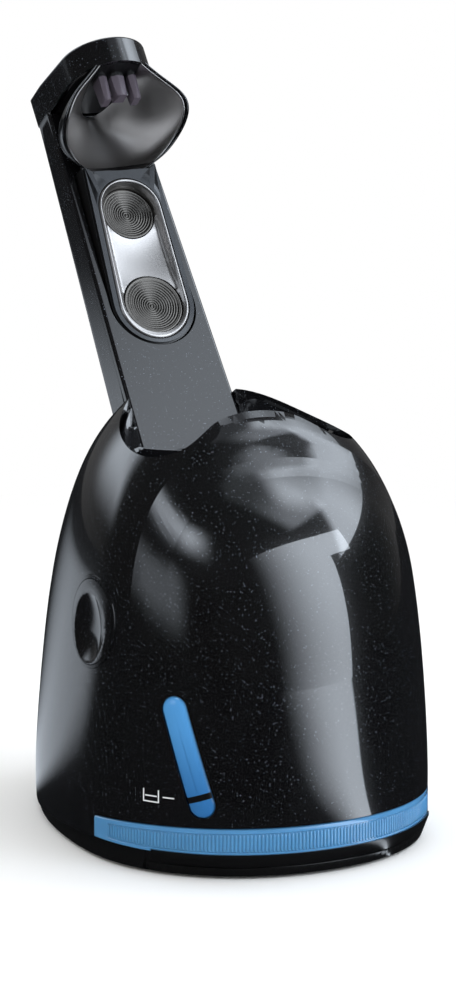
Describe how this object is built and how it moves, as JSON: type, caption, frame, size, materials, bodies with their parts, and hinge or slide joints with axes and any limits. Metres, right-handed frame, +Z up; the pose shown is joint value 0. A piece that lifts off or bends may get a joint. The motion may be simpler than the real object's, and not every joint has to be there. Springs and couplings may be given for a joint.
{
  "type": "shaver cleaning station",
  "caption": "Shaver cleaning station: domed housing with a wash bowl, a leaning tower with two buttons, hood and plug, on a base with a fluid cartridge.",
  "frame": {"origin": "on the table, under the middle of the whole station's outline", "axes": "+Z up, front (wash bowl and grip strip) towards -Y, tower leaning back towards +Y, lift button on the -X side"},
  "size_m": [0.1326, 0.2139, 0.2823],
  "materials": {
    "housing_black": "gloss",
    "base_black": "satin",
    "inner_black": "matte",
    "cartridge_blue": "gloss",
    "window_blue": "gloss",
    "gunmetal": "satin",
    "satin_chrome": "satin",
    "button_metal": "satin",
    "steel": "satin",
    "brass": "satin",
    "rubber": "matte",
    "white_print": "matte",
    "black_print": "matte",
    "plug_grey": "matte",
    "bowl_grey": "satin",
    "nylon": "matte",
    "board_green": "satin",
    "filter_felt": "matte",
    "clear_hose": "gloss"
  },
  "bodies": {
    "base": {"base_plate": "base_black", "rubber_feet": "rubber", "guide_posts": "steel", "lift_springs": "steel", "latch_catch": "steel", "base_screws": "steel", "cartridge_grip": "cartridge_blue", "cartridge_tub": "cartridge_blue", "cartridge_lid": "cartridge_blue", "cartridge_seals": "rubber", "cartridge_filter": "filter_felt"},
    "housing": {"board_components": "inner_black", "button_bezel": "satin_chrome", "cap": "housing_black", "chassis": "inner_black", "chassis_screws": "steel", "dip_pipe": "nylon", "dome_shell": "housing_black", "drain_pipe": "nylon", "fan_housing": "inner_black", "feed_hose": "clear_hose", "hood_liner": "satin_chrome", "hood_shell": "housing_black", "latch_pin": "steel", "level_symbol": "white_print", "lift_button_ring": "housing_black", "main_board": "board_green", "mains_lead": "rubber", "min_mark": "black_print", "motor_can": "steel", "motor_mount": "steel", "panel_board": "board_green", "panel_carrier": "base_black", "panel_skin": "gunmetal", "panel_switches": "inner_black", "plug_block": "plug_grey", "plug_contacts": "steel", "power_socket": "inner_black", "pump_housing": "nylon", "rear_cover": "housing_black", "socket_pins": "brass", "spray_nozzle": "nylon", "suction_hose": "clear_hose", "tower_front": "housing_black", "tower_lead": "rubber", "tower_rear": "housing_black", "wash_bowl": "bowl_grey", "window_lens": "window_blue"},
    "rotor": {"motor_shaft": "steel", "motor_armature": "steel", "pump_impeller": "nylon", "fan_wheel": "nylon"},
    "start_button": {"start_button": "button_metal"},
    "fast_clean_button": {"fast_clean_button": "button_metal"},
    "lift_button": {"lift_button": "housing_black"},
    "latch_lever": {"latch_lever": "nylon"}
  },
  "joints": [
    {"name": "housing_lift", "type": "slide", "parent": "base", "child": "housing", "axis": [0, 0, 1], "range_m": [0, 0.046], "deforming": ["lift_springs"]},
    {"name": "start_press", "type": "slide", "parent": "housing", "child": "start_button", "axis": [0, 0.8211, -0.5707], "range_m": [0, 0.0008], "stiffness_N_per_m": 900, "springref_m": -0.001},
    {"name": "fast_clean_press", "type": "slide", "parent": "housing", "child": "fast_clean_button", "axis": [0, 0.8211, -0.5707], "range_m": [0, 0.0008], "stiffness_N_per_m": 900, "springref_m": -0.001},
    {"name": "lift_button_press", "type": "slide", "parent": "housing", "child": "lift_button", "axis": [1, 0, 0], "range_m": [0, 0.0025], "stiffness_N_per_m": 800, "springref_m": -0.001},
    {"name": "latch_turn", "type": "hinge", "parent": "housing", "child": "latch_lever", "pos_m": [-0.049, -0.04044, 0.097], "axis": [0, -1, 0], "range_deg": [0, 15]},
    {"name": "motor_spin", "type": "hinge", "parent": "housing", "child": "rotor", "pos_m": [0, 0.02756, 0.096], "axis": [0, 0, 1], "continuous": true}
  ],
  "couplings": [
    {"joint": "latch_turn", "follows": "lift_button_press", "rad_per_m": 104.5}
  ]
}
